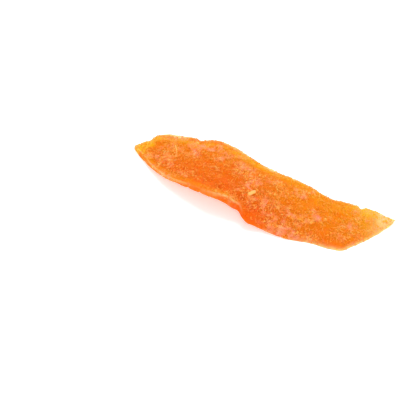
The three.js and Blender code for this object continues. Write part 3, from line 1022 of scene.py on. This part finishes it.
def make_sugar(flesh, inward):
    """All the fine crystals as one mesh."""
    random = np.random.default_rng(SUGAR_SEED)
    places, normals = surface_samples(flesh, random, SUGAR_COUNT, sugar_weight(flesh, inward))
    largeness = random.random(SUGAR_COUNT) ** SUGAR_SIZE_EASE
    size = SUGAR_SMALLEST + (SUGAR_LARGEST - SUGAR_SMALLEST) * largeness
    size *= np.where(normals[:, 2] > SHOWN_FROM, 1.0, SIDE_SIZE)
    sizes = size[:, None] * (1 - SUGAR_FLATTEST * random.random((SUGAR_COUNT, 3)))
    corner_count = len(CUBE_CORNERS)
    corners = CUBE_CORNERS[None] * (1 - SUGAR_UNEVENNESS * random.random((SUGAR_COUNT, corner_count, 1)))
    corners = turn_by(random_turns(random, SUGAR_COUNT), corners * (sizes * MM)[:, None, :])
    centres = places + normals * ((0.5 - SUGAR_SUNK) * sizes.min(axis=1) * MM)[:, None]
    mesh = joined_copies("sugar", corners + centres[:, None, :], CUBE_FACES)
    add_share(mesh, "tone", np.repeat(random.random(SUGAR_COUNT) ** SUGAR_TONE_EASE, corner_count))
    mark_coat(mesh, centres, corner_count)
    return mesh


def height_finder(flesh):
    """Gives the height of the shown face over a place along and across the slice."""
    tree = BVHTree.FromPolygons([v.co for v in flesh.vertices], [p.vertices for p in flesh.polygons])

    def height(along, across):
        x, y, _ = to_frame(along, across, 0.0)
        place, normal, _, _ = tree.ray_cast(Vector((x, y, 1)), Vector((0, 0, -1)))
        return (place, normal) if place else (None, None)

    return height


def grain_places(draw):
    """The places of the coarse grains: the same draws as in the solid."""
    places = list(LONE_GRAINS)
    while len(places) < GRAIN_COUNT:
        along = LENGTH * next(draw)
        near = float(near_edge(along))
        across = near + (float(far_edge(along)) - near) * next(draw)
        inside = min(edge_distances(along, across)) > GRAIN_EDGE_GAP
        taken = places + [(FLECK_AT, FLECK_ACROSS)]
        if inside and all(math.hypot(along - a, across - c) > GRAIN_SPACING for a, c in taken):
            places.append((along, across))
    return places


def chamfered_block():
    """A block 1 across with its edges cut off, as corners and faces."""
    form = bmesh.new()
    bmesh.ops.create_cube(form, size=1.0)
    bmesh.ops.bevel(form, geom=form.edges[:], offset=GRAIN_CHAMFER, segments=1, affect="EDGES")
    corners = np.array([v.co[:] for v in form.verts])
    form.verts.index_update()
    faces = [np.array([v.index for v in face.verts]) for face in form.faces]
    form.free()
    return corners, faces


def make_grains(height):
    """The coarse grains, at the places and sizes of the solid's, as chamfered uneven blocks."""
    draw = random_stream(GRAIN_SEED)
    random = np.random.default_rng(GRAIN_SEED)
    block, faces = chamfered_block()
    rows = []
    for along, across in grain_places(draw):
        size = GRAIN_SMALLEST + (GRAIN_LARGEST - GRAIN_SMALLEST) * next(draw) ** 2
        breadth = size * (GRAIN_NARROWEST + (1 - GRAIN_NARROWEST) * next(draw))
        thickness = size * (GRAIN_NARROWEST + (1 - GRAIN_NARROWEST) * next(draw))
        sizes = np.array([size, breadth, thickness])
        turn = Euler([math.pi * next(draw) for _ in range(3)]).to_matrix()
        place, normal = height(along, across)
        centre = np.array(place) + np.array(normal) * sizes.min() * (0.5 - GRAIN_SUNK) * MM
        uneven = block * (1 - GRAIN_UNEVENNESS * random.random((len(block), 1)))
        rows.append((uneven * sizes * MM) @ np.array(turn).T + centre)
    mesh = joined_copies("grains", np.array(rows), faces)
    tones = LEAST_TONE + (1 - LEAST_TONE) * random.random(len(rows))
    add_share(mesh, "tone", np.repeat(tones, len(block)))
    mark_coat(mesh, vertex_points(mesh))
    return mesh


def fleck_point(direction):
    """The place on an uneven, squarish lump, about 1 from its middle, that lies this way."""
    fineness, height = FLECK_LUMPS
    uneven = 1 + height * noise.noise(direction * fineness + Vector(FLECK_SHIFT))
    fineness, height = FLECK_FINE_LUMPS
    uneven += height * noise.noise(direction * fineness)
    squareness = max(abs(part) for part in direction) ** FLECK_SQUARENESS
    return direction * uneven / squareness * FLECK_FILL


def make_fleck(height):
    """A loose chip of dried flesh that has stuck to the middle of the slice."""
    form = bmesh.new()
    bmesh.ops.create_icosphere(form, subdivisions=FLECK_SUBDIVISIONS, radius=1.0)
    place, normal = height(FLECK_AT, FLECK_ACROSS)
    middle = place + normal * (FLECK_RAISED * FLECK_SIZE[2] * MM)
    lean = Vector((0, 0, 1)).rotation_difference(normal).to_matrix()
    turn = lean @ Euler((0, 0, FLECK_TURN)).to_matrix()
    half_sizes = Vector(FLECK_SIZE) * MM / 2
    for vertex in form.verts:
        vertex.co = middle + turn @ (fleck_point(vertex.co) * half_sizes)
    mesh = bpy.data.meshes.new("fleck")
    form.to_mesh(mesh)
    form.free()
    mesh.shade_smooth()
    return mesh


def wisp_line(random, start, heading, length):
    """Places along and across of one crooked strand."""
    steps = STRAND_RINGS - 1
    bend = random.normal() * WISP_BEND
    line = [start]
    for _ in range(steps):
        heading += bend / steps + random.normal() * WISP_WOBBLE
        along, across = line[-1]
        forward = math.cos(heading) * length / steps
        sideways = math.sin(heading) * length / steps
        line.append((along + forward, across + sideways))
    return line


def even_line(line):
    """The same line, as points that lie evenly along it."""
    along, across = np.array(line).T
    lengths = np.hypot(np.diff(along), np.diff(across))
    run = np.concatenate([[0], np.cumsum(lengths)])
    places = np.linspace(0, run[-1], STRAND_RINGS)
    return list(zip(np.interp(places, run, along), np.interp(places, run, across)))


def strand(line, radius, height):
    """Rings of points along a strand that tapers to both ends, or None if it leaves the face."""
    found = [height(along, across) for along, across in line]
    if any(place is None or normal.z < STEEPEST for place, normal in found):
        return None
    centres = np.array([place for place, _ in found])
    normals = np.array([normal for _, normal in found])
    headings = np.gradient(centres, axis=0)
    sides = np.cross(normals, headings)
    sides /= np.linalg.norm(sides, axis=1, keepdims=True)
    run = np.linspace(STRAND_END, 1 - STRAND_END, len(line))
    taper = np.sin(np.pi * run)[:, None, None]
    angles = (2 * np.pi * np.arange(STRAND_SIDES) / STRAND_SIDES)[None, :, None]
    ring = np.cos(angles) * sides[:, None, :] + np.sin(angles) * normals[:, None, :]
    return centres[:, None, :] + radius * MM * taper * ring


def strand_faces():
    """The two ends and the sides of a strand, as corners counted ring by ring."""
    ring = np.arange(STRAND_SIDES)
    faces = [ring[::-1], ring + (STRAND_RINGS - 1) * STRAND_SIDES]
    for i in range(STRAND_RINGS - 1):
        for j in range(STRAND_SIDES):
            k = (j + 1) % STRAND_SIDES
            faces.append(np.array([j, k, k + STRAND_SIDES, j + STRAND_SIDES]) + i * STRAND_SIDES)
    return faces


def well_inside(line):
    """Whether a strand keeps clear of the edges of the slice."""
    return all(0 < along < LENGTH and min(edge_distances(along, across)) > WISP_EDGE_GAP
               for along, across in line)


def make_wisps(height):
    """The wisps and the pale fibres as one mesh."""
    random = np.random.default_rng(WISP_SEED)
    rows = []
    while len(rows) < WISP_COUNT:
        along = LENGTH * random.random() ** WISP_CROWDING
        share = random.random()
        across = float(near_edge(along)) * (1 - share) + float(far_edge(along)) * share
        length = WISP_SHORTEST + (WISP_LONGEST - WISP_SHORTEST) * random.random() ** 2
        line = wisp_line(random, (along, across), random.random() * 2 * math.pi, length)
        if well_inside(line):
            thickness = WISP_THINNEST + (WISP_THICKEST - WISP_THINNEST) * random.random()
            rings = strand(line, WISP_RADIUS * thickness, height)
            if rings is not None:
                rows.append(rings.reshape(-1, 3))
    tones = LEAST_TONE + (1 - LEAST_TONE) * random.random(WISP_COUNT)
    for line in FIBRES:
        rows.append(strand(even_line(line), FIBRE_RADIUS, height).reshape(-1, 3))
    tones = np.concatenate([tones, np.ones(len(FIBRES))])
    mesh = joined_copies("wisps", np.array(rows), strand_faces())
    mesh.shade_smooth()
    add_share(mesh, "tone", np.repeat(tones, STRAND_RINGS * STRAND_SIDES))
    mark_coat(mesh, vertex_points(mesh))
    return mesh


def new_object(name, data):
    """An object for a mesh, a camera or a light, in the scene."""
    thing = bpy.data.objects.new(name, data)
    bpy.context.scene.collection.objects.link(thing)
    return thing


def add_camera():
    data = bpy.data.cameras.new("camera")
    data.lens = VIEW_LENS
    data.sensor_width = VIEW_SENSOR
    data.clip_start = VIEW_START
    camera = new_object("camera", data)
    camera.rotation_euler = Euler((math.radians(90 - VIEW_ELEVATION), 0, math.radians(VIEW_AZIMUTH)))
    back = camera.rotation_euler.to_matrix() @ Vector((0, 0, 1))
    camera.location = (Vector(VIEW_AIM) + back * VIEW_DISTANCE) * MM
    bpy.context.scene.camera = camera


def add_soft_light(name, place, breadth, power):
    """A round light that shines at the origin."""
    data = bpy.data.lights.new(name, "AREA")
    data.shape = "DISK"
    data.size = breadth
    data.energy = power
    light = new_object(name, data)
    light.location = place
    light.rotation_euler = (-Vector(place)).to_track_quat("-Z", "Y").to_euler()


def add_room():
    world = bpy.data.worlds.new("white_room")
    bpy.context.scene.world = world
    world.use_nodes = True
    background = world.node_tree.nodes["Background"]
    background.inputs["Color"].default_value = WHITE
    background.inputs["Strength"].default_value = ROOM_LIGHT


def add_table():
    mesh = bpy.data.meshes.new("table")
    corners = [(x * TABLE_REACH, y * TABLE_REACH, 0) for x, y in ((-1, -1), (1, -1), (1, 1), (-1, 1))]
    mesh.from_pydata(corners, [], [(0, 1, 2, 3)])
    mesh.materials.append(table_material())
    table = new_object("table", mesh)


def add_piece(name, mesh, material):
    """A visible piece that stands for the slice's node."""
    mesh.materials.append(material)
    piece = new_object(name, mesh)
    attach(piece, "root")
    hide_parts(NODE)


def main():
    scene = bpy.context.scene
    scene.view_settings.view_transform = "Standard"
    add_camera()
    add_soft_light("key", *KEY_LIGHT)
    add_soft_light("fill", *FILL_LIGHT)
    add_room()
    add_table()

    flesh, along, across = make_flesh_mesh()
    roughen(flesh, along, across)
    mark_coat(flesh, vertex_points(flesh))
    add_share(flesh, "pale", pale_share(along, across, vertex_normals(flesh)))
    inward = np.minimum(*edge_distances(along, across))
    height = height_finder(flesh)
    sugar = sugar_material()
    add_piece("fruit_flesh", flesh, flesh_material())
    add_piece("sugar_coat", make_sugar(flesh, inward), sugar)
    add_piece("coarse_sugar", make_grains(height), sugar)
    add_piece("syrup_wisps", make_wisps(height), sugar)
    add_piece("loose_fleck", make_fleck(height), fleck_material())


main()
